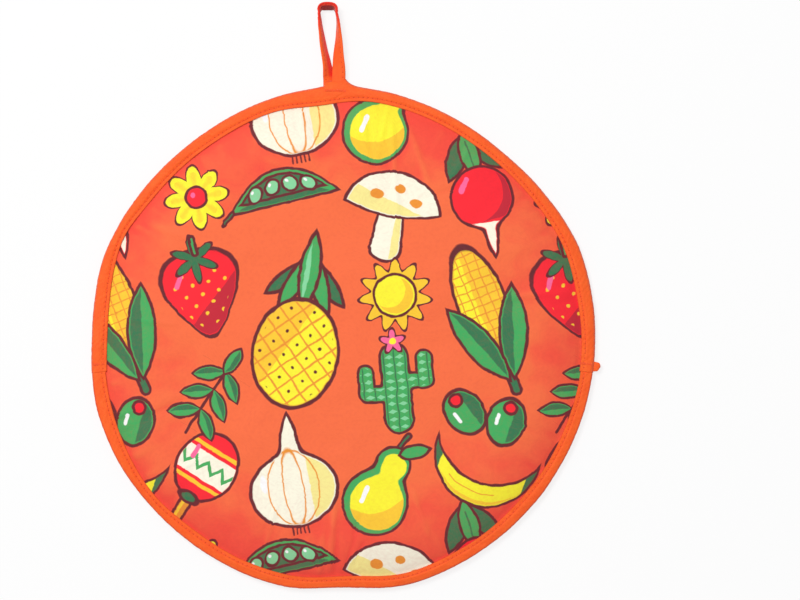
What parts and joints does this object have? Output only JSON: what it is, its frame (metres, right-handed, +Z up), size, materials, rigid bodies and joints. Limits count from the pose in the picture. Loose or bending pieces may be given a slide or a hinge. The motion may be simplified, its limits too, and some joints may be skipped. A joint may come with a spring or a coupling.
{
  "type": "tortilla warmer",
  "caption": "Flat round quilted cloth pouch with a bound edge, a half-round flap that folds up to open its pocket, and a hanging loop of tape.",
  "frame": {"origin": "centre of the round pouch, on the table that its back lies on", "axes": "+Z up out of the front panel, +Y from the centre to the hanging loop, +X to the right as seen from the front"},
  "size_m": [0.3088, 0.3572, 0.0132],
  "materials": {
    "printed_cloth": "plain weave cotton, matt, with a slight sheen",
    "gingham_lining": "red and white gingham cotton, matt",
    "batting": "soft fibre fill",
    "binding_tape": "folded bias tape of cotton twill, matt",
    "thread": "polyester sewing thread"
  },
  "bodies": {
    "pouch": {"back_outer_cloth": "printed_cloth", "back_batting": "batting", "back_lining": "gingham_lining", "front_outer_cloth": "printed_cloth", "front_batting": "batting", "front_lining": "gingham_lining", "closing_binding": "binding_tape", "back_mouth_binding": "binding_tape", "closing_seam_thread": "thread", "back_mouth_seam_thread": "thread", "corner_bar_tacks": "thread", "binding_tape_end": "binding_tape", "loop_root": "binding_tape", "loop_bar_tack": "thread"},
    "flap": {"flap_outer_cloth": "printed_cloth", "flap_batting": "batting", "flap_lining": "gingham_lining", "front_mouth_binding": "binding_tape", "front_mouth_seam_thread": "thread"},
    "loop": {"hanging_loop": "binding_tape"}
  },
  "joints": [
    {"name": "flap_fold", "type": "hinge", "parent": "pouch", "child": "flap", "pos_m": [0, -0.02122, 0.0132], "axis": [-1, 0, 0], "range_deg": [0, 90]},
    {"name": "loop_bend", "type": "hinge", "parent": "pouch", "child": "loop", "pos_m": [-0.0056, 0.1575, 0.0037], "axis": [1, 0, 0], "range_deg": [-90, 90], "stiffness_Nm_per_rad": 0.01}
  ]
}
